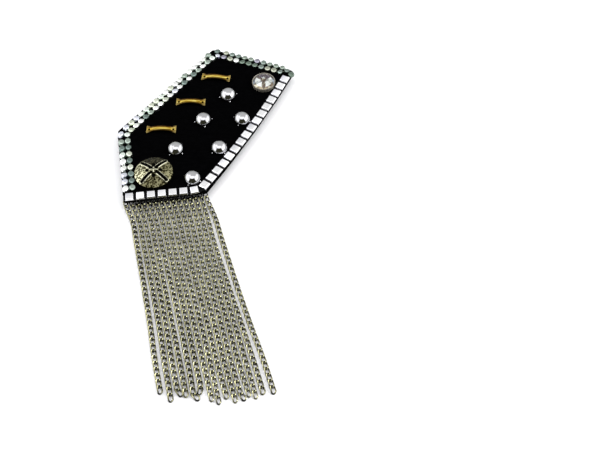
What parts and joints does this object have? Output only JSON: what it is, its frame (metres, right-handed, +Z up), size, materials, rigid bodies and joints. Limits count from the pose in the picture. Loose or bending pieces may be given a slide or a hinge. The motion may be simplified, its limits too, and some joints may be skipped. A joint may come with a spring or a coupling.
{
  "type": "chain fringe epaulette",
  "caption": "Flat felt shoulder ornament set with silver tiles, studs, gold bars, a button and a crystal, with a fringe of loose curb chains and a brooch bar behind.",
  "frame": {"origin": "middle of the whole outline, on the surface that the epaulette lies on", "axes": "+Z up out of the decorated face, +Y from the fringe towards the panel, +X to the right when seen from the front"},
  "size_m": [0.0938, 0.2143, 0.0094],
  "materials": {
    "felt": "stiff black wool felt, matt, with a soft cut edge",
    "ribbon": "flat black woven ribbon",
    "tile_metal": "bright silver squares with a bevelled edge",
    "mesh_metal": "bright cut metal, some studs greyed",
    "dome_metal": "mirror bright",
    "gold_metal": "brushed antique gold",
    "setting_metal": "dark silver cup",
    "crystal": "clear cut stone on a foil back",
    "antique_metal": "antiqued pewter, dark in its hollows",
    "chain_metal": "pewter-grey plated curb chain",
    "pin_steel": "plain nickel-plated steel"
  },
  "bodies": {
    "root": {"backing": "felt", "tile_ribbon": "ribbon", "stud_mesh": "mesh_metal", "crystal_setting": "setting_metal", "crystal": "crystal", "button": "antique_metal", "pin_bar": "pin_steel", "dome_1": "dome_metal", "dome_2": "dome_metal", "dome_3": "dome_metal", "dome_4": "dome_metal", "dome_5": "dome_metal", "dome_6": "dome_metal", "gold_bar_1": "gold_metal", "gold_bar_2": "gold_metal", "gold_bar_3": "gold_metal", "tile_01": "tile_metal", "tile_02": "tile_metal", "tile_03": "tile_metal", "tile_04": "tile_metal", "tile_05": "tile_metal", "tile_06": "tile_metal", "tile_07": "tile_metal", "tile_08": "tile_metal", "tile_09": "tile_metal", "tile_10": "tile_metal", "tile_11": "tile_metal", "tile_12": "tile_metal", "tile_13": "tile_metal", "tile_14": "tile_metal", "tile_15": "tile_metal", "tile_16": "tile_metal", "tile_17": "tile_metal", "tile_18": "tile_metal", "tile_19": "tile_metal", "tile_20": "tile_metal", "tile_21": "tile_metal", "tile_22": "tile_metal", "tile_23": "tile_metal", "chain_01": "chain_metal", "chain_02": "chain_metal", "chain_03": "chain_metal", "chain_04": "chain_metal", "chain_05": "chain_metal", "chain_06": "chain_metal", "chain_07": "chain_metal", "chain_08": "chain_metal", "chain_09": "chain_metal", "chain_10": "chain_metal", "chain_11": "chain_metal", "chain_12": "chain_metal", "chain_13": "chain_metal", "chain_14": "chain_metal", "chain_15": "chain_metal"}
  },
  "joints": []
}
